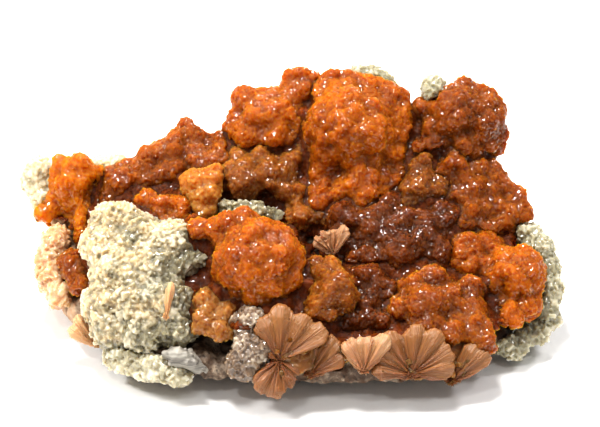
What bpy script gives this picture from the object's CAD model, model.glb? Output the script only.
"""A natural mineral specimen: balls of orange stellerite and crusts of pale calcite on a slab of rock.

Lengths are in metres in the CAD frame, written as millimetres times MM. The specimen is shown from
VIEW_TILT above level, and a place named by how far across and how far up that view it lies, and how far
back, is turned into the CAD frame by shown_at.
"""

import math

import bmesh
import bpy
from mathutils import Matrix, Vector, noise
from mathutils.bvhtree import BVHTree


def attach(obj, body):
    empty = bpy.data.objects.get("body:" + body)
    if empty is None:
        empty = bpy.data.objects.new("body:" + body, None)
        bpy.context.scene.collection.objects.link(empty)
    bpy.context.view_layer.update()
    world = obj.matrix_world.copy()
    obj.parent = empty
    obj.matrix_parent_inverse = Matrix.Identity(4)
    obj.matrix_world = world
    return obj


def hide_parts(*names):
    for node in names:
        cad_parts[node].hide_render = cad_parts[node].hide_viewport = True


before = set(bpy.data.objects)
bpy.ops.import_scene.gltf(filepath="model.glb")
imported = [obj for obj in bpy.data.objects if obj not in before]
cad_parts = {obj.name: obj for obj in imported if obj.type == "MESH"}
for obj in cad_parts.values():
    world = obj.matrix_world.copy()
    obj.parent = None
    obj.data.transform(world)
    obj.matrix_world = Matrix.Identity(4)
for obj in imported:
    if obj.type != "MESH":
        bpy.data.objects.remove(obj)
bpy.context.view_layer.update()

# The stand: a plain pale sheet that the specimen lies on, soft studio lamps over it, and the camera that
# looks down on it through a long lens.
MM = 0.001
VIEW_TILT = math.radians(35)
SHOWN_WIDTH = 120 * MM
LENS, SENSOR = 250, 36
AIM = Vector((1.5, 0.7, 27.2)) * MM

toward_viewer = Vector((0, -math.cos(VIEW_TILT), math.sin(VIEW_TILT)))
bpy.ops.object.select_all(action="DESELECT")
bpy.ops.object.camera_add(
    location=AIM + toward_viewer * SHOWN_WIDTH * LENS / SENSOR,
    rotation=(math.pi / 2 - VIEW_TILT, 0, 0),
)
camera = bpy.context.object
camera.name = "camera"
camera.data.lens = LENS
camera.data.sensor_width = SENSOR
camera.data.clip_start = 0.01
bpy.context.scene.camera = camera


def given_to(tree, node, key, value):
    """Joins one input of the node to a socket, or sets it to a value."""
    if isinstance(value, bpy.types.NodeSocket):
        tree.links.new(value, node.inputs[key])
    else:
        node.inputs[key].default_value = value


def put(tree, kind, inputs=None, **settings):
    """Adds a node, with its settings, and its inputs joined to sockets or set to values."""
    made = tree.nodes.new(kind)
    for key, value in settings.items():
        setattr(made, key, value)
    for key, value in (inputs or {}).items():
        given_to(tree, made, key, value)
    return made


def mixed(tree, share, first, second):
    """The first tint turning into the second as the share goes from 0 to 1."""
    made = put(tree, "ShaderNodeMix", {0: share, 6: first, 7: second}, data_type="RGBA")
    return made.outputs[2]


def colour(red, green, blue):
    """A colour given as it looks on a screen, 0 to 255, as the shader wants it."""
    shown = [part / 255 for part in (red, green, blue)]
    return (*[(c / 12.92 if c < 0.04 else ((c + 0.055) / 1.055) ** 2.4) for c in shown], 1.0)


def new_material(name):
    """A material with its Principled shader, ready for its inputs."""
    made = bpy.data.materials.new(name)
    made.use_nodes = True
    return made, made.node_tree, made.node_tree.nodes["Principled BSDF"]


def one_alone(obj):
    bpy.ops.object.select_all(action="DESELECT")
    obj.select_set(True)
    bpy.context.view_layer.objects.active = obj


FLOOR_SIZE = 6.0
PAPER, PAPER_FIBRE = colour(246, 245, 243), colour(252, 252, 251)
FIBRE_FINENESS = 900.0
ROOM_LIGHT = 0.36
bpy.ops.mesh.primitive_plane_add(size=FLOOR_SIZE)
floor = bpy.context.object
floor.name = "pale_sheet"
paper, tree, shader = new_material("pale_sheet")
place = put(tree, "ShaderNodeTexCoord").outputs["Object"]
fibre = put(tree, "ShaderNodeTexNoise", {"Vector": place, "Scale": FIBRE_FINENESS})
shade = mixed(tree, fibre.outputs["Fac"], PAPER, PAPER_FIBRE)
tree.links.new(shade, shader.inputs["Base Color"])
shader.inputs["Roughness"].default_value = 0.7
floor.data.materials.append(paper)

world = bpy.data.worlds.new("studio")
bpy.context.scene.world = world
world.use_nodes = True
world.node_tree.nodes["Background"].inputs["Color"].default_value = (1.0, 1.0, 1.0, 1.0)
world.node_tree.nodes["Background"].inputs["Strength"].default_value = ROOM_LIGHT

# Each lamp: where it hangs and its width in millimetres, its power in watts and its colour.
LAMP_AIM = Vector((0, 0, 20)) * MM
LAMPS = {
    "overhead": ((-70, 60, 640), 150, 4.4, (1.0, 0.985, 0.96)),
    "left": ((-480, 20, 420), 110, 2.5, (1.0, 0.99, 0.98)),
    "right": ((430, 160, 520), 70, 0.9, (1.0, 0.98, 1.0)),
    "behind": ((60, 460, 420), 80, 1.1, (1.0, 0.98, 1.0)),
    "front_left": ((-170, -330, 620), 70, 0.7, (1.0, 0.99, 0.98)),
    "front_right": ((260, -260, 600), 70, 0.6, (1.0, 0.99, 0.98)),
}
for name, (spot, width, power, tint) in LAMPS.items():
    bpy.ops.object.light_add(type="AREA", location=Vector(spot) * MM)
    lamp = bpy.context.object
    lamp.name = name + "_lamp"
    lamp.data.shape = "DISK"
    lamp.data.size = width * MM
    lamp.data.energy = power
    lamp.data.color = tint
    lamp.rotation_euler = (LAMP_AIM - lamp.location).to_track_quat("-Z", "Y").to_euler()
bpy.context.scene.view_settings.view_transform = "Standard"
bpy.context.scene.view_settings.look = "Medium High Contrast"

# The rock: a slab of broken grey-brown basalt with small grey crystals in it, and a peach-coloured skin
# on its left flank. It was broken out with hammer and chisel, so it is rough all round, and flat only
# where it rests.
SAME_SPOT = 0.001 * MM  # corners nearer than this are one corner


def copy_of(node, name):
    """A new object with a node's own shape, its loose triangles merged into one skin."""
    piece = bpy.data.objects.new(name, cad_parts[node].data.copy())
    piece.data.materials.clear()
    bpy.context.scene.collection.objects.link(piece)
    one_alone(piece)
    bpy.ops.object.mode_set(mode="EDIT")
    bpy.ops.mesh.select_all(action="SELECT")
    bpy.ops.mesh.remove_doubles(threshold=SAME_SPOT)
    bpy.ops.object.mode_set(mode="OBJECT")
    return piece


def worked(piece, kind, **settings):
    """Adds one modifier to the piece and applies it."""
    one_alone(piece)
    step = piece.modifiers.new(kind.title(), kind)
    for key, value in settings.items():
        setattr(step, key, value)
    bpy.ops.object.modifier_apply(modifier=step.name)


def finished(piece, node, made_of):
    """Hands the piece over in place of its node."""
    piece.data.materials.clear()
    piece.data.materials.append(made_of)
    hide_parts(node)
    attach(piece, "root")


WIDE_PATCH, FINE_PATCH = (0.4, 0.6), (0.45, 0.72)  # where in the noise a patch begins and is full


def patches_group():
    """Three tints laid in patches of two sizes over one another."""
    tree = bpy.data.node_groups.new("tint_patches", "ShaderNodeTree")
    for name in ("First", "Second", "Third"):
        tree.interface.new_socket(name, in_out="INPUT", socket_type="NodeSocketColor")
    for name in ("Large", "Small", "Lean"):
        tree.interface.new_socket(name, in_out="INPUT", socket_type="NodeSocketFloat")
    tree.interface.new_socket("Color", in_out="OUTPUT", socket_type="NodeSocketColor")
    given = put(tree, "NodeGroupInput").outputs
    place = put(tree, "ShaderNodeTexCoord").outputs["Object"]
    large = put(tree, "ShaderNodeTexNoise", {"Vector": place, "Scale": given["Large"], "Detail": 3.0})
    small = put(tree, "ShaderNodeTexNoise", {"Vector": place, "Scale": given["Small"], "Detail": 4.0})
    leaning = put(tree, "ShaderNodeMath", {0: large.outputs["Fac"], 1: given["Lean"]}, operation="ADD")
    wide = put(
        tree, "ShaderNodeMapRange",
        {"Value": leaning.outputs[0], "From Min": WIDE_PATCH[0], "From Max": WIDE_PATCH[1]},
    )
    fine = put(
        tree, "ShaderNodeMapRange",
        {"Value": small.outputs["Fac"], "From Min": FINE_PATCH[0], "From Max": FINE_PATCH[1]},
    )
    ground = mixed(tree, wide.outputs["Result"], given["First"], given["Second"])
    over = mixed(tree, fine.outputs["Result"], ground, given["Third"])
    put(tree, "NodeGroupOutput", {"Color": over})
    return tree


patches = patches_group()


def group(tree, kind, **values):
    """Places a shader group with its values."""
    made = tree.nodes.new("ShaderNodeGroup")
    made.node_tree = kind
    for key, value in values.items():
        given_to(tree, made, key, value)
    return made.outputs


def faces_where(piece, test):
    """In edit mode, selects the faces whose normal passes the test, and no others."""
    bm = bmesh.from_edit_mesh(piece.data)
    for face in bm.faces:
        face.select_set(False)
    for face in bm.faces:
        if test(face):
            face.select_set(True)
    bmesh.update_edit_mesh(piece.data)


UPRIGHT = 0.9  # the cosine of the lean up to which an edge or a face counts as upright


def chisel_crystal(name, size, proud, chisel, chisel_share, corner, lean):
    """One blocky crystal whose end slopes in like a blunt chisel. It stands on +Z, mostly below the
    origin."""
    bpy.ops.object.select_all(action="DESELECT")
    bpy.ops.mesh.primitive_cube_add(size=1.0, location=(0, 0, 0))
    crystal = bpy.context.object
    crystal.name = name
    bpy.ops.object.mode_set(mode="EDIT")
    bpy.ops.transform.resize(value=size)
    bpy.ops.transform.translate(value=(0, 0, proud - size[2] / 2))
    bm = bmesh.from_edit_mesh(crystal.data)
    for edge in bm.edges:
        run = (edge.verts[0].co - edge.verts[1].co).normalized()
        edge.select_set(abs(run.z) > UPRIGHT)
    bm.select_flush_mode()
    bmesh.update_edit_mesh(crystal.data)
    bpy.ops.mesh.select_mode(type="EDGE")
    bpy.ops.mesh.bevel(offset=corner, segments=1)
    bpy.ops.mesh.select_mode(type="FACE")
    faces_where(crystal, lambda face: face.normal.z > UPRIGHT)
    bpy.ops.mesh.extrude_region_move(TRANSFORM_OT_translate={"value": (0, 0, chisel)})
    bpy.ops.transform.resize(value=chisel_share)
    bpy.ops.transform.rotate(value=lean, orient_axis="Y", center_override=(0, 0, proud + chisel))
    bpy.ops.mesh.select_all(action="SELECT")
    bpy.ops.mesh.normals_make_consistent(inside=False)
    bpy.ops.object.mode_set(mode="OBJECT")
    crystal.hide_render = True
    return crystal


KNOB_EDGE = 0.16  # the square of how far out from its middle a knob stops standing up, in cells
UNDERSIDE = -0.5  # ground that faces down more than this has no crystals
TRIES = 2.0  # crystals tried for each that has room


def growing_tree():
    """Geometry nodes that cover a piece with crystals: a knobbly ground, and crystals that stand on it
    where there is room, turned together in sheaves, each a little out of true."""
    tree = bpy.data.node_groups.new("crystals_grow", "GeometryNodeTree")
    tree.interface.new_socket("Geometry", in_out="INPUT", socket_type="NodeSocketGeometry")
    tree.interface.new_socket("Crystal", in_out="INPUT", socket_type="NodeSocketObject")
    for name in ("Spacing", "Smallest", "Largest", "Tilt", "Sheaf", "Sheaf turn", "Knob", "Knob height"):
        tree.interface.new_socket(name, in_out="INPUT", socket_type="NodeSocketFloat")
    tree.interface.new_socket("Seed", in_out="INPUT", socket_type="NodeSocketInt")
    tree.interface.new_socket("Geometry", in_out="OUTPUT", socket_type="NodeSocketGeometry")
    given = put(tree, "NodeGroupInput").outputs
    place = put(tree, "GeometryNodeInputPosition").outputs["Position"]
    outward = put(tree, "GeometryNodeInputNormal").outputs["Normal"]

    cells = put(tree, "ShaderNodeMath", {0: 1.0, 1: given["Knob"]}, operation="DIVIDE")
    knobs = put(tree, "ShaderNodeTexVoronoi", {"Vector": place, "Scale": cells.outputs[0]})
    off = put(tree, "ShaderNodeMath", {0: knobs.outputs["Distance"], 1: 2.0}, operation="POWER")
    lower = put(tree, "ShaderNodeMath", {0: KNOB_EDGE, 1: off.outputs[0]}, operation="SUBTRACT")
    height = put(tree, "ShaderNodeMath", {0: lower.outputs[0], 1: given["Knob height"]}, operation="MULTIPLY")
    rise = put(tree, "ShaderNodeVectorMath", {0: outward, "Scale": height.outputs[0]}, operation="SCALE")
    ground = put(tree, "GeometryNodeSetPosition", {"Geometry": given["Geometry"], "Offset": rise.outputs[0]})

    facing = put(tree, "ShaderNodeSeparateXYZ", {0: outward})
    open_side = put(tree, "ShaderNodeMath", {0: facing.outputs["Z"], 1: UNDERSIDE}, operation="GREATER_THAN")
    room = put(tree, "ShaderNodeMath", {0: given["Spacing"], 1: given["Spacing"]}, operation="MULTIPLY")
    crowd = put(tree, "ShaderNodeMath", {0: TRIES, 1: room.outputs[0]}, operation="DIVIDE")
    spread = put(
        tree, "GeometryNodeDistributePointsOnFaces",
        {"Mesh": ground.outputs[0], "Selection": open_side.outputs[0], "Distance Min": given["Spacing"],
         "Density Max": crowd.outputs[0], "Seed": given["Seed"]},
        distribute_method="POISSON",
    )
    bundle = put(tree, "ShaderNodeMath", {0: 1.0, 1: given["Sheaf"]}, operation="DIVIDE")
    sheaves = put(tree, "ShaderNodeTexVoronoi", {"Vector": place, "Scale": bundle.outputs[0]})
    parted = put(tree, "ShaderNodeSeparateXYZ", {0: sheaves.outputs["Color"]})
    turned = put(tree, "ShaderNodeMath", {0: parted.outputs[0], 1: given["Sheaf turn"]}, operation="MULTIPLY")
    away = put(tree, "ShaderNodeMath", {0: given["Tilt"], 1: -1.0}, operation="MULTIPLY")
    tilts = [
        put(
            tree, "FunctionNodeRandomValue",
            {2: away.outputs[0], 3: given["Tilt"], "Seed": seed}, data_type="FLOAT",
        ).outputs[1]
        for seed in (1, 2, 3)
    ]
    spin = put(tree, "ShaderNodeMath", {0: tilts[2], 1: turned.outputs[0]}, operation="ADD")
    lean = put(tree, "ShaderNodeCombineXYZ", {0: tilts[0], 1: tilts[1], 2: spin.outputs[0]})
    leaned = put(tree, "FunctionNodeEulerToRotation", {0: lean.outputs[0]})
    stood = put(
        tree, "FunctionNodeRotateRotation",
        {"Rotation": spread.outputs["Rotation"], "Rotate By": leaned.outputs[0]}, rotation_space="LOCAL",
    )
    least, most = [
        put(tree, "ShaderNodeCombineXYZ", {0: given[name], 1: given[name], 2: given[name]})
        for name in ("Smallest", "Largest")
    ]
    size = put(
        tree, "FunctionNodeRandomValue",
        {0: least.outputs[0], 1: most.outputs[0], "Seed": given["Seed"]}, data_type="FLOAT_VECTOR",
    )
    model = put(tree, "GeometryNodeObjectInfo", {"Object": given["Crystal"]})
    grown = put(
        tree, "GeometryNodeInstanceOnPoints",
        {"Points": spread.outputs["Points"], "Instance": model.outputs["Geometry"],
         "Rotation": stood.outputs[0], "Scale": size.outputs[0]},
    )
    real = put(tree, "GeometryNodeRealizeInstances", {"Geometry": grown.outputs[0]})
    whole = put(tree, "GeometryNodeJoinGeometry")
    tree.links.new(ground.outputs[0], whole.inputs[0])
    tree.links.new(real.outputs[0], whole.inputs[0])
    put(tree, "NodeGroupOutput", {0: whole.outputs[0]})
    return tree


crystals_grow = growing_tree()
GROUND_VOXEL = 0.5 * MM
CRISP_FROM = math.radians(26)  # edges between faces steeper than this stay crisp
CLEFT = 0.8 * MM  # half the width of a cleft that is filled
GROUND_SINK = -0.1 * MM  # how far the ground between the crystals lies under the faces of the node


def merged(nodes, name):
    """One object with the shapes of all these nodes in it."""
    parts = [copy_of(node, name) for node in nodes]
    bpy.ops.object.select_all(action="DESELECT")
    for part in parts:
        part.select_set(True)
    bpy.context.view_layer.objects.active = parts[0]
    if len(parts) > 1:
        bpy.ops.object.join()
    return parts[0]


SKIN_VOXEL, SKIN_REACH = 0.8 * MM, 5.5 * MM


def remeshed(piece, voxel):
    """Makes the piece one closed skin of small even faces."""
    worked(piece, "REMESH", mode="VOXEL", voxel_size=voxel)


def softened(piece):
    """Takes the sharpest bumps off the surface."""
    worked(piece, "SMOOTH", factor=0.5, iterations=2)


def swollen(piece, by):
    """Moves the surface outward by a length, or inward where it is negative."""
    worked(piece, "DISPLACE", strength=by, mid_level=0.0)


def closed(piece, voxel, reach, sink):
    """Fills the clefts of a piece that are narrower than twice the reach, and sinks its surface."""
    remeshed(piece, voxel)
    swollen(piece, reach)
    remeshed(piece, voxel)
    softened(piece)
    swollen(piece, sink - reach)


def measured(piece):
    """The surface of a piece, to measure from."""
    corners = [vert.co.copy() for vert in piece.data.vertices]
    return BVHTree.FromPolygons(corners, [list(face.vertices) for face in piece.data.polygons])


def above(surface, point):
    """How far the point stands above the surface, in millimetres."""
    spot, outward, _, _ = surface.find_nearest(point)
    return (point - spot).dot(outward) / MM


over_all = merged(list(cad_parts), "over_all")
closed(over_all, SKIN_VOXEL, SKIN_REACH, 0.0)
over_all_skin = measured(over_all)
bpy.data.objects.remove(over_all)


def grown(nodes, name, crystal, voxel, keep, sink=GROUND_SINK, cleft=CLEFT, crisp=CRISP_FROM, **habit):
    """A growth of crystals in the shape of its nodes, as one skin. Kept on it are how far each point
    stands proud of the ground, as the attribute tip, and how deep it lies in a valley between the
    growths, as the attribute deep, both in millimetres."""
    piece = merged(nodes, name)
    closed(piece, GROUND_VOXEL, cleft, sink)
    remeshed(piece, GROUND_VOXEL)
    softened(piece)
    ground = measured(piece)
    growth = piece.modifiers.new("Growth", "NODES")
    growth.node_group = crystals_grow
    habit["Crystal"] = crystal
    for item in crystals_grow.interface.items_tree:
        if item.in_out == "INPUT" and item.name in habit:
            growth[item.identifier] = habit[item.name]
    one_alone(piece)
    bpy.ops.object.modifier_apply(modifier=growth.name)
    remeshed(piece, voxel)
    worked(piece, "DECIMATE", ratio=keep)
    bpy.ops.object.shade_smooth_by_angle(angle=crisp)
    tips = piece.data.attributes.new("tip", "FLOAT", "POINT")
    depths = piece.data.attributes.new("deep", "FLOAT", "POINT")
    for index, vert in enumerate(piece.data.vertices):
        tips.data[index].value = above(ground, vert.co)
        depths.data[index].value = -above(over_all_skin, vert.co)
    return piece


def shaded_by(tree, attribute, start, end, share):
    """Goes from 0 to the share as the attribute goes from start to end."""
    read = put(tree, "ShaderNodeAttribute", attribute_name=attribute)
    return put(
        tree, "ShaderNodeMapRange",
        {"Value": read.outputs["Fac"], "From Min": start, "From Max": end, "To Min": 0.0, "To Max": share},
    ).outputs[0]


def facets_group():
    """Small flat faces, each tilted its own way, which catch the light one by one. Gloss is 1 on the
    clean faces and 0 on the dull ones."""
    tree = bpy.data.node_groups.new("small_faces", "ShaderNodeTree")
    for name in ("Cells", "Tilt", "Glossy"):
        tree.interface.new_socket(name, in_out="INPUT", socket_type="NodeSocketFloat")
    tree.interface.new_socket("Normal", in_out="OUTPUT", socket_type="NodeSocketVector")
    tree.interface.new_socket("Gloss", in_out="OUTPUT", socket_type="NodeSocketFloat")
    given = put(tree, "NodeGroupInput").outputs
    place = put(tree, "ShaderNodeTexCoord").outputs["Object"]
    cells = put(tree, "ShaderNodeTexVoronoi", {"Vector": place, "Scale": given["Cells"]})
    centred = put(
        tree, "ShaderNodeVectorMath", {0: cells.outputs["Color"], 1: (0.5, 0.5, 0.5)}, operation="SUBTRACT"
    )
    lean = put(
        tree, "ShaderNodeVectorMath", {0: centred.outputs[0], "Scale": given["Tilt"]}, operation="SCALE"
    )
    outward = put(tree, "ShaderNodeNewGeometry").outputs["Normal"]
    tilted = put(tree, "ShaderNodeVectorMath", {0: outward, 1: lean.outputs[0]}, operation="ADD")
    level = put(tree, "ShaderNodeVectorMath", {0: tilted.outputs[0]}, operation="NORMALIZE")
    each = put(tree, "ShaderNodeSeparateColor", {0: cells.outputs["Color"]})
    clean = put(tree, "ShaderNodeMath", {0: each.outputs[1], 1: given["Glossy"]}, operation="LESS_THAN")
    put(tree, "NodeGroupOutput", {0: level.outputs[0], 1: clean.outputs[0]})
    return tree


small_faces = facets_group()


def faceted(tree, shader, size, tilt, glossy):
    """Breaks the surface up into small crystal faces, so many of them clean enough to flash."""
    faces = group(tree, small_faces, Cells=size, Tilt=tilt, Glossy=glossy)
    tree.links.new(faces["Normal"], shader.inputs["Normal"])
    tree.links.new(faces["Gloss"], shader.inputs["Coat Weight"])
    shader.inputs["Coat Roughness"].default_value = 0.07
    shader.inputs["Coat IOR"].default_value = 1.5


GRAIN = (1.1 * MM, 0.9 * MM, 1.2 * MM)  # width, thickness and length of one grain
GRAIN_PROUD, GRAIN_POINT, GRAIN_CORNER = 0.15 * MM, 0.2 * MM, 0.12 * MM
grain = chisel_crystal(
    "one_grain", GRAIN, GRAIN_PROUD, GRAIN_POINT, (0.5, 0.5, 1.0), GRAIN_CORNER, math.radians(16)
)
BROKEN = {"Spacing": 1.3 * MM, "Smallest": 0.5, "Largest": 1.3, "Tilt": 0.7, "Sheaf": 2.0 * MM,
          "Sheaf turn": 6.3, "Knob": 3.0 * MM, "Knob height": 1.6 * MM}
ROCK_VOXEL, ROCK_KEEP, ROCK_SINK = 0.42 * MM, 0.35, -0.2 * MM
ROCK_HOLLOW, ROCK_RELIEF = 9 * MM, 1.6 * MM
FLANK_EDGE, FLANK_FADE, FLANK_WANDER = -42 * MM, 5 * MM, 8 * MM
ROCK_HOLLOWS_AT = (0.2, -0.5, 0.6)  # how far proud the tint starts and ends, in mm, and its share
ROCK_ROUGHNESS = 0.3 * MM


def rock_material():
    """Grey-brown rock with grey and cream grains, turning to a peach skin towards the left flank."""
    made, tree, shader = new_material("broken_rock")
    body = group(tree, patches, First=colour(96, 70, 48), Second=colour(178, 158, 136),
                 Third=colour(46, 32, 22), Large=420.0, Small=1300.0)
    skin = group(tree, patches, First=colour(226, 186, 142), Second=colour(212, 156, 112),
                 Third=colour(236, 212, 178), Large=160.0, Small=700.0)
    place = put(tree, "ShaderNodeTexCoord").outputs["Object"]
    wander = put(tree, "ShaderNodeTexNoise", {"Vector": place, "Scale": 260.0, "Detail": 3.0})
    across = put(tree, "ShaderNodeSeparateXYZ", {0: place})
    drift = put(tree, "ShaderNodeMath", {0: wander.outputs["Fac"], 1: FLANK_WANDER, 2: across.outputs[0]},
                operation="MULTIPLY_ADD")
    flank = put(
        tree, "ShaderNodeMapRange",
        {"Value": drift.outputs[0], "From Min": FLANK_EDGE, "From Max": FLANK_EDGE + FLANK_FADE,
         "To Min": 1.0, "To Max": 0.0},
    )
    tint = mixed(tree, flank.outputs[0], body["Color"], skin["Color"])
    sunk = mixed(tree, shaded_by(tree, "tip", *ROCK_HOLLOWS_AT), tint, colour(74, 54, 40))
    tree.links.new(sunk, shader.inputs["Base Color"])
    rough = put(tree, "ShaderNodeTexNoise", {"Vector": place, "Scale": 1600.0, "Detail": 6.0})
    relief = put(
        tree, "ShaderNodeBump", {"Height": rough.outputs["Fac"], "Strength": 0.9, "Distance": ROCK_ROUGHNESS}
    )
    tree.links.new(relief.outputs["Normal"], shader.inputs["Normal"])
    shader.inputs["Roughness"].default_value = 0.6
    return made


rock = grown(["rock_matrix"], "rock", grain, ROCK_VOXEL, ROCK_KEEP, ROCK_SINK, Seed=90, **BROKEN)
hollows = bpy.data.textures.new("hollows", "VORONOI")
hollows.noise_scale = ROCK_HOLLOW
worked(rock, "DISPLACE", texture=hollows, texture_coords="LOCAL", strength=ROCK_RELIEF, mid_level=0.6)
for vert in rock.data.vertices:
    vert.co.z = max(vert.co.z, 0.0)
finished(rock, "rock_matrix", rock_material())

# Stellerite crystals: blunt orange plates, side by side like the pages of a half-open book, that cover
# every ball and the dark lining between the balls. Each growth is one skin, as it grew.
PLATE = (1.2 * MM, 0.75 * MM, 1.6 * MM)  # width, thickness and length of one plate
PLATE_PROUD = 0.16 * MM
PLATE_CHISEL = 0.18 * MM  # height of the chisel end beyond that
PLATE_CHISEL_SHARE = (0.66, 0.6, 1.0)
PLATE_CORNER, PLATE_LEAN = 0.18 * MM, math.radians(14)
plate = chisel_crystal(
    "one_plate", PLATE, PLATE_PROUD, PLATE_CHISEL, PLATE_CHISEL_SHARE, PLATE_CORNER, PLATE_LEAN
)


def streaks_group():
    """Streaks that run out from the point a rosette or fan grew from, after its attribute fan: the angle
    around that point in radians and the distance from it in millimetres."""
    tree = bpy.data.node_groups.new("spreading_streaks", "ShaderNodeTree")
    tree.interface.new_socket("Fineness", in_out="INPUT", socket_type="NodeSocketFloat")
    tree.interface.new_socket("Streak", in_out="OUTPUT", socket_type="NodeSocketFloat")
    tree.interface.new_socket("Rim", in_out="OUTPUT", socket_type="NodeSocketFloat")
    given = put(tree, "NodeGroupInput").outputs
    spread = put(tree, "ShaderNodeAttribute", attribute_name="fan")
    squeeze = put(tree, "ShaderNodeCombineXYZ", {0: given["Fineness"], 1: 0.3, 2: 1.0})
    combed = put(tree, "ShaderNodeVectorMath", {0: spread.outputs["Vector"], 1: squeeze.outputs[0]},
                 operation="MULTIPLY")
    noisy = put(tree, "ShaderNodeTexNoise", {"Vector": combed.outputs[0], "Scale": 1.0, "Detail": 5.0})
    lines = put(
        tree, "ShaderNodeMapRange", {"Value": noisy.outputs["Fac"], "From Min": 0.36, "From Max": 0.64}
    )
    drawn = put(tree, "ShaderNodeSeparateXYZ", {0: spread.outputs["Vector"]})
    rim = put(tree, "ShaderNodeMapRange", {"Value": drawn.outputs[1], "From Min": 1.0, "From Max": 9.0})
    put(tree, "NodeGroupOutput", {0: lines.outputs[0], 1: rim.outputs[0]})
    return tree


spreading_streaks = streaks_group()
RISE_DATUM = -14.3  # added to a rise, it counts from the ground under the middle, in millimetres
SHIFT = Vector((-0.3, 1.2, 0.0))  # puts the middle of the box over the origin, in millimetres


def shown_at(across, rise, back):
    """The point of the CAD frame at this place in the view, in millimetres."""
    height = (rise + RISE_DATUM - back * math.sin(VIEW_TILT)) / math.cos(VIEW_TILT)
    return (Vector((across, back, height)) + SHIFT) * MM


def spread_from(piece, root):
    """Keeps on each point of the piece its angle and distance, in the view, from the point that the
    piece grew out from."""
    start = shown_at(*root)
    up_the_view = Vector((0, math.sin(VIEW_TILT), math.cos(VIEW_TILT)))
    kept = piece.data.attributes.new("fan", "FLOAT_VECTOR", "POINT")
    for index, vert in enumerate(piece.data.vertices):
        reach = vert.co - start
        kept.data[index].vector = (math.atan2(reach.dot(up_the_view), reach.x), reach.length / MM, 0.0)
    return kept


RIM_TOP, RIM_FADE, RIM_WANDER = 9.5, 2.5, 6.0  # up the view, in millimetres


def at_the_rim(tree):
    """Goes from 0 to 1 down towards the broken front rim of the specimen."""
    place = put(tree, "ShaderNodeTexCoord").outputs["Object"]
    up = put(
        tree, "ShaderNodeVectorMath",
        {0: place, 1: (0.0, math.sin(VIEW_TILT) / MM, math.cos(VIEW_TILT) / MM)}, operation="DOT_PRODUCT",
    )
    wander = put(tree, "ShaderNodeTexNoise", {"Vector": place, "Scale": 300.0, "Detail": 3.0})
    drift = put(tree, "ShaderNodeMath", {0: wander.outputs["Fac"], 1: RIM_WANDER, 2: up.outputs["Value"]},
                operation="MULTIPLY_ADD")
    top = RIM_TOP + RISE_DATUM + RIM_WANDER / 2
    return put(
        tree, "ShaderNodeMapRange",
        {"Value": drift.outputs[0], "From Min": top, "From Max": top + RIM_FADE,
         "To Min": 1.0, "To Max": 0.0},
    ).outputs[0]


# Where tints begin and are full on the crystals, in millimetres proud of the ground or deep in a
# valley, and how much of the tint there is then.
PLATE_FEET_AT, PLATE_ENDS_AT = (0.35, -0.25, 0.4), (0.4, 0.9, 0.5)
VALLEYS_AT = (0.2, 3.8, 0.85)
PLATE_FACES, PLATE_TILT = 2600.0, 0.42  # small faces to the metre, and how far they tilt
SOAK_DEPTH = 7.0 * MM


def stellerite_material(name, light, deep, tip, valley, streaked=0.0, glossy=0.4, rim=None):
    """Gemmy stellerite: light soaks in and comes out orange; tips are paler and valleys deeper."""
    made, tree, shader = new_material(name)
    body = group(tree, patches, First=colour(*light), Second=colour(*deep), Third=colour(*light),
                 Large=120.0, Small=700.0)
    between = mixed(tree, shaded_by(tree, "tip", *PLATE_FEET_AT), body["Color"], colour(*deep))
    ends = mixed(tree, shaded_by(tree, "tip", *PLATE_ENDS_AT), between, colour(*tip))
    streaks = group(tree, spreading_streaks, Fineness=9.0)
    lined = put(tree, "ShaderNodeMath", {0: streaks["Streak"], 1: streaked}, operation="MULTIPLY")
    combed = mixed(tree, lined.outputs[0], ends, colour(*deep))
    sunk = mixed(tree, shaded_by(tree, "deep", *VALLEYS_AT), combed, colour(*valley))
    if rim:
        sunk = mixed(tree, at_the_rim(tree), sunk, colour(*rim))
    tree.links.new(sunk, shader.inputs["Base Color"])
    faceted(tree, shader, PLATE_FACES, PLATE_TILT, glossy)
    shader.inputs["Roughness"].default_value = 0.5
    shader.inputs["IOR"].default_value = 1.45
    shader.inputs["Specular IOR Level"].default_value = 0.15
    shader.inputs["Subsurface Weight"].default_value = 1.0
    shader.inputs["Subsurface Radius"].default_value = (1.0, 0.6, 0.25)
    shader.inputs["Subsurface Scale"].default_value = SOAK_DEPTH
    return made


# Each finish: its two colours, the colour of its crystal ends, its colour in the valleys, and how
# strongly it is streaked. The lining also has its share of clean faces, and the colour of the tan crust
# it turns to at the front rim.
STELLERITE_FINISHES = {
    "bright_orange": ((184, 104, 4), (162, 84, 3), (206, 138, 26), (106, 46, 4)),
    "brown_orange": ((157, 82, 3), (132, 64, 3), (196, 126, 24), (88, 38, 4)),
    "deep_orange": ((138, 72, 4), (110, 52, 3), (174, 108, 22), (78, 34, 4)),
    "tawny": ((130, 66, 4), (104, 48, 3), (166, 100, 24), (78, 34, 4)),
    "red_brown": ((98, 45, 3), (78, 33, 2), (128, 70, 14), (62, 25, 3)),
    "smoky_brown": ((138, 82, 24), (108, 58, 12), (176, 124, 58), (78, 38, 8)),
    "pale_peach": ((178, 120, 50), (158, 92, 28), (214, 166, 100), (118, 60, 14), 0.6),
    "golden_tan": ((158, 96, 26), (110, 58, 11), (192, 140, 68), (90, 48, 10), 0.7),
    "tan": ((152, 102, 48), (118, 72, 26), (180, 134, 78), (86, 48, 14), 0.4),
    "dark_lining": ((108, 46, 3), (84, 33, 2), (132, 70, 12), (74, 28, 3), 0.0, 0.15, (126, 84, 46)),
}
finishes = {
    name: stellerite_material(name + "_stellerite", *tints) for name, tints in STELLERITE_FINISHES.items()
}
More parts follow.
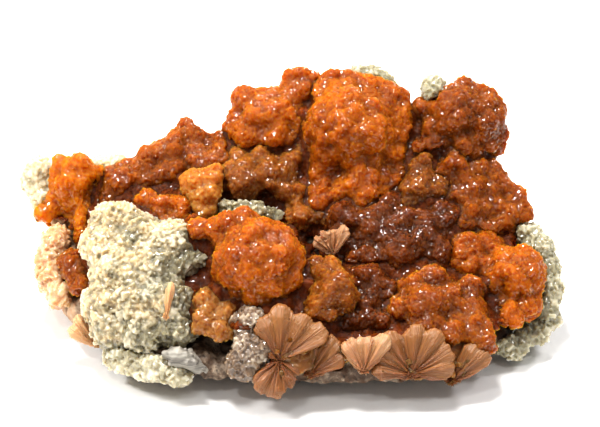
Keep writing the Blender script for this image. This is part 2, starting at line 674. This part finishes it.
BLADED = {"Spacing": 0.66 * MM, "Smallest": 0.75, "Largest": 1.25, "Tilt": 0.12, "Sheaf": 2.6 * MM,
          "Sheaf turn": 6.3, "Knob": 2.8 * MM, "Knob height": 1.5 * MM}
STELLERITE_SWELL, STELLERITE_CLEFT = 0.2 * MM, 1.4 * MM
WIDER_CLEFTS = {"crown_cluster": 2.7 * MM, "centre_ball_cluster": 2.4 * MM}
WIDER_SWELLS = {"golden_rosette": 1.0 * MM, "pale_rosette": 0.7 * MM, "amber_corner": 0.5 * MM}
STELLERITE_GROWTHS = {
    "left_ball_cluster": "bright_orange",
    "lower_left_ball": "deep_orange",
    "arm_cluster": "deep_orange",
    "lower_arm_cluster": "brown_orange",
    "pale_rosette": "pale_peach",
    "pocket_cluster": "smoky_brown",
    "crown_left_cluster": "brown_orange",
    "crown_cluster": "brown_orange",
    "smoky_cluster": "smoky_brown",
    "wall_cluster": "red_brown",
    "low_middle_cluster": "red_brown",
    "tower_cluster": "tawny",
    "right_slope_cluster": "deep_orange",
    "right_ball_cluster": "brown_orange",
    "front_right_cluster": "deep_orange",
    "centre_ball_cluster": "brown_orange",
    "golden_rosette": "golden_tan",
    "amber_corner": "tan",
}
# Where the streaks of the rosettes run out from: across, rise and back in the view.
ROSETTE_ROOTS = {
    "golden_rosette": (3.8, 19.0, -18.0),
    "pale_rosette": (-17.6, 36.0, -4.0),
    "amber_corner": (-19.0, 10.0, -24.0),
}
STELLERITE_VOXEL, STELLERITE_KEEP = 0.21 * MM, 0.4
for seed, (node, finish) in enumerate(STELLERITE_GROWTHS.items()):
    swell = WIDER_SWELLS.get(node, STELLERITE_SWELL)
    cleft = WIDER_CLEFTS.get(node, STELLERITE_CLEFT)
    growth = grown(
        [node], node + "_crystals", plate, STELLERITE_VOXEL, STELLERITE_KEEP, swell, cleft,
        Seed=seed, **BLADED
    )
    if node in ROSETTE_ROOTS:
        spread_from(growth, ROSETTE_ROOTS[node])
    finished(growth, node, finishes[finish])

# The lining: the layer of small dark plates between the balls. It runs under all of them, so its ground
# is one skin closed over the balls, the broken fans and the left calcite, and then sunk below them.
LINING_VOXEL, LINING_KEEP = 0.32 * MM, 0.3
LINING_SINK, LINING_CLEFT = -1.05 * MM, 3.0 * MM
FRONT_FANS = ("front_bow_tie", "front_fan_middle", "front_fan_centre", "front_fan_right", "right_edge_fan")
lining = grown(
    ["stellerite_crust", *STELLERITE_GROWTHS, *FRONT_FANS, "calcite_left_mass"], "lining_crystals", plate,
    LINING_VOXEL, LINING_KEEP, LINING_SINK, LINING_CLEFT, Seed=40, **BLADED
)
finished(lining, "stellerite_crust", finishes["dark_lining"])

# Calcite: a sugary crust of small clear-edged rhombs, cream where it is fresh and grey-green where it
# is stained.
RHOMB = (1.2 * MM, 1.0 * MM, 1.3 * MM)  # width, thickness and length of one rhomb
RHOMB_PROUD, RHOMB_POINT, RHOMB_CORNER = 0.3 * MM, 0.24 * MM, 0.05 * MM
rhomb = chisel_crystal(
    "one_rhomb", RHOMB, RHOMB_PROUD, RHOMB_POINT, (0.3, 0.5, 1.0), RHOMB_CORNER, math.radians(22)
)
# Where tints begin and are full, and their share, as on the plates.
RHOMB_FEET_AT, RHOMB_ENDS_AT = (0.25, -0.3, 0.32), (0.35, 0.8, 0.6)
CALCITE_VALLEYS_AT = (0.6, 3.4, 0.8)
RHOMB_FACES, RHOMB_TILT, RHOMB_GLOSSY = 2600.0, 0.5, 0.7
CALCITE_SOAK_DEPTH = 4.0 * MM
STAINED_TOWARD = (0.82, 0.0, -0.57)
FRESH_TO, STAINED_FROM = -47 * MM, -29 * MM
SUGARY = {"Spacing": 0.72 * MM, "Smallest": 0.35, "Largest": 1.35, "Tilt": 1.3, "Sheaf": 1.5 * MM,
          "Sheaf turn": 6.3, "Knob": 4.0 * MM, "Knob height": 1.2 * MM}


def calcite_material(name, fresh, stained, dark, frost):
    """Sugary calcite, fresh at the left of the specimen and stained towards the middle."""
    made, tree, shader = new_material(name)
    place = put(tree, "ShaderNodeTexCoord").outputs["Object"]
    along = put(tree, "ShaderNodeVectorMath", {0: place, 1: STAINED_TOWARD}, operation="DOT_PRODUCT")
    lean = put(
        tree, "ShaderNodeMapRange",
        {"Value": along.outputs["Value"], "From Min": FRESH_TO, "From Max": STAINED_FROM, "To Min": -0.22,
         "To Max": 0.2},
    )
    body = group(tree, patches, First=colour(*fresh), Second=colour(*stained), Third=colour(*stained),
                 Large=200.0, Small=600.0, Lean=lean.outputs[0])
    between = mixed(tree, shaded_by(tree, "tip", *RHOMB_FEET_AT), body["Color"], colour(*dark))
    ends = mixed(tree, shaded_by(tree, "tip", *RHOMB_ENDS_AT), between, colour(*frost))
    sunk = mixed(tree, shaded_by(tree, "deep", *CALCITE_VALLEYS_AT), ends, colour(*dark))
    tree.links.new(sunk, shader.inputs["Base Color"])
    faceted(tree, shader, RHOMB_FACES, RHOMB_TILT, RHOMB_GLOSSY)
    shader.inputs["Roughness"].default_value = 0.4
    shader.inputs["IOR"].default_value = 1.6
    shader.inputs["Specular IOR Level"].default_value = 0.3
    shader.inputs["Subsurface Weight"].default_value = 0.9
    shader.inputs["Subsurface Radius"].default_value = (1.0, 0.85, 0.6)
    shader.inputs["Subsurface Scale"].default_value = CALCITE_SOAK_DEPTH
    return made


# Each finish: its fresh and its stained colour, its colour in the hollows, and that of its crystal ends.
CALCITE_FINISHES = {
    "cream": ((206, 184, 144), (130, 123, 98), (82, 70, 48), (230, 218, 192)),
    "white": ((218, 204, 170), (172, 164, 138), (130, 118, 92), (238, 230, 208)),
    "grey_green": ((198, 188, 158), (150, 144, 118), (92, 84, 62), (228, 220, 198)),
    "peach": ((206, 168, 126), (194, 140, 98), (160, 108, 72), (228, 206, 172)),
    "speckled": ((166, 148, 124), (120, 98, 78), (40, 28, 20), (214, 202, 182)),
}
calcites = {name: calcite_material(name + "_calcite", *tints) for name, tints in CALCITE_FINISHES.items()}
# Each growth: its finish, how far its ground swells past the faces of its node, and half the width of
# the clefts filled in it, both in millimetres.
CALCITE_GROWTHS = {
    "calcite_left_mass": ("cream", 0.3, 1.6),
    "calcite_lower_rim": ("white", 0.9, 3.0),
    "calcite_right_rim": ("grey_green", 0.3, 1.6),
    "calcite_far_left": ("white", 0.8, 2.0),
    "calcite_behind_crown": ("grey_green", 0.4, 1.2),
    "calcite_on_tower": ("grey_green", 0.5, 1.2),
    "calcite_arm_patch": ("white", 0.4, 1.2),
    "calcite_in_pocket": ("cream", 0.2, 0.6),
    "drusy_knob": ("speckled", 1.5, 2.0),
    "left_edge_crust": ("peach", 0.9, 4.0),
}
CALCITE_VOXEL, CALCITE_KEEP, CALCITE_CRISP = 0.18 * MM, 0.34, math.radians(20)
for seed, (node, (finish, swell, cleft)) in enumerate(CALCITE_GROWTHS.items()):
    growth = grown(
        [node], node + "_crystals", rhomb, CALCITE_VOXEL, CALCITE_KEEP, swell * MM, cleft * MM,
        CALCITE_CRISP, Seed=60 + seed, **SUGARY
    )
    finished(growth, node, calcites[finish])

# Broken fans: where a ball was broken through, its blades spread from one point, silky and striated.
# Across, rise and back of the point each fan spreads from.
FAN_ROOTS = {
    "front_bow_tie": (-2.3, 7.3, -28.3),
    "front_fan_middle": (3.8, 4.4, -28.6),
    "front_fan_right": (23.8, 4.6, -28.4),
    "front_fan_centre": (14.4, 5.2, -28.8),
    "right_edge_fan": (31.6, 3.0, -27.0),
    "left_edge_fan": (-38.6, 9.6, -15.0),
    "blade_in_calcite": (-24.6, 15.4, -22.0),
    "pocket_blades": (8.4, 28.2, -6.5),
}
FAN_VOXEL, FAN_KEEP, FAN_SWELL = 0.18 * MM, 0.6, 0.5 * MM
# How many to the radian, how much they change on the way out, and how high they stand.
PETALS, PETAL_DRIFT, PETAL_HEIGHT = 6.0, 0.05, 0.6 * MM
RIDGES, RIDGE_DRIFT, RIDGE_HEIGHT = 26.0, 0.12, 0.2 * MM
STREAK_DEPTH, FAN_RIM_SHARE = 0.12 * MM, 0.75


def fan_material(name, light, blush, deep, pale):
    """Silky cleavage: petals of two tints, combed with dark streaks and paler towards their rim."""
    made, tree, shader = new_material(name)
    streaks = group(tree, spreading_streaks, Fineness=30.0)
    kept = put(tree, "ShaderNodeAttribute", attribute_name="fan")
    petals = put(tree, "ShaderNodeMapping", {"Vector": kept.outputs["Vector"], "Scale": (2.6, 0.05, 1.0)})
    varied = put(tree, "ShaderNodeTexNoise", {"Vector": petals.outputs[0], "Scale": 1.0, "Detail": 1.0})
    blushing = put(
        tree, "ShaderNodeMapRange", {"Value": varied.outputs["Fac"], "From Min": 0.4, "From Max": 0.6}
    )
    petal_tint = mixed(tree, blushing.outputs[0], colour(*light), colour(*blush))
    combed = mixed(tree, streaks["Streak"], colour(*deep), petal_tint)
    paled = put(tree, "ShaderNodeMath", {0: streaks["Rim"], 1: FAN_RIM_SHARE}, operation="MULTIPLY")
    tint = mixed(tree, paled.outputs[0], combed, colour(*pale))
    tree.links.new(tint, shader.inputs["Base Color"])
    relief = put(
        tree, "ShaderNodeBump", {"Height": streaks["Streak"], "Strength": 0.7, "Distance": STREAK_DEPTH}
    )
    tree.links.new(relief.outputs["Normal"], shader.inputs["Normal"])
    shader.inputs["Roughness"].default_value = 0.34
    shader.inputs["Subsurface Weight"].default_value = 0.6
    shader.inputs["Subsurface Radius"].default_value = (1.0, 0.55, 0.3)
    shader.inputs["Subsurface Scale"].default_value = 1.2 * MM
    return made


silky = fan_material("silky_stellerite", (150, 92, 36), (136, 82, 52), (80, 40, 16), (158, 110, 64))
pale_silky = fan_material("pale_silky_stellerite", (186, 136, 90), (172, 114, 80), (130, 80, 48),
                          (200, 158, 116))
peach_silky = fan_material("peach_silky_stellerite", (216, 170, 118), (206, 156, 108), (176, 122, 78),
                           (222, 182, 138))
FAN_FINISHES = {"blade_in_calcite": peach_silky, "left_edge_fan": peach_silky,
                "pocket_blades": pale_silky, "front_fan_centre": pale_silky}
for node, root in FAN_ROOTS.items():
    piece = copy_of(node, node + "_blades")
    remeshed(piece, FAN_VOXEL)
    if node in FRONT_FANS:
        swollen(piece, FAN_SWELL)
        remeshed(piece, FAN_VOXEL)
    worked(piece, "DECIMATE", ratio=FAN_KEEP)
    spread = spread_from(piece, root)
    outward = [vert.normal.copy() for vert in piece.data.vertices]
    for vert, kept, normal in zip(piece.data.vertices, spread.data, outward):
        angle, length, _ = kept.vector
        petal = noise.noise(Vector((angle * PETALS, length * PETAL_DRIFT, root[0])))
        ridge = noise.noise(Vector((angle * RIDGES, length * RIDGE_DRIFT, root[0])))
        vert.co += normal * (petal * PETAL_HEIGHT + ridge * RIDGE_HEIGHT)
    finished(piece, node, FAN_FINISHES.get(node, silky))

# The grey lens: a bed of laminated grey-blue calcite that crops out along the front edge. It was
# broken across, so its beds show as fine uneven ledges.
LENS_VOXEL, LENS_KEEP, LENS_CLEFT = 0.25 * MM, 0.6, 1.0 * MM
LENS_DIP = math.radians(20)
BEDS_FINENESS = (180.0, 500.0, 1500.0)  # along the beds, in towards the back, and across the beds
LEDGE_DEPTH = 0.4 * MM
lens = grown(
    ["grey_calcite_lens"], "grey_lens", grain, LENS_VOXEL, LENS_KEEP, 0.0, LENS_CLEFT, Seed=95, **BROKEN
)


def lens_material():
    made, tree, shader = new_material("bedded_grey_calcite")
    place = put(tree, "ShaderNodeTexCoord").outputs["Object"]
    laid = put(
        tree, "ShaderNodeMapping",
        {"Vector": place, "Rotation": (0.0, LENS_DIP, 0.0), "Scale": BEDS_FINENESS},
    )
    beds = put(tree, "ShaderNodeTexNoise", {"Vector": laid.outputs[0], "Scale": 1.0, "Detail": 5.0})
    spread = put(
        tree, "ShaderNodeMapRange", {"Value": beds.outputs["Fac"], "From Min": 0.35, "From Max": 0.65}
    )
    tint = mixed(tree, spread.outputs[0], colour(100, 94, 88), colour(170, 164, 152))
    tree.links.new(tint, shader.inputs["Base Color"])
    relief = put(
        tree, "ShaderNodeBump", {"Height": beds.outputs["Fac"], "Strength": 1.0, "Distance": LEDGE_DEPTH}
    )
    tree.links.new(relief.outputs["Normal"], shader.inputs["Normal"])
    shader.inputs["Roughness"].default_value = 0.45
    return made


finished(lens, "grey_calcite_lens", lens_material())

for crystal in (grain, plate, rhomb):
    bpy.data.objects.remove(crystal)
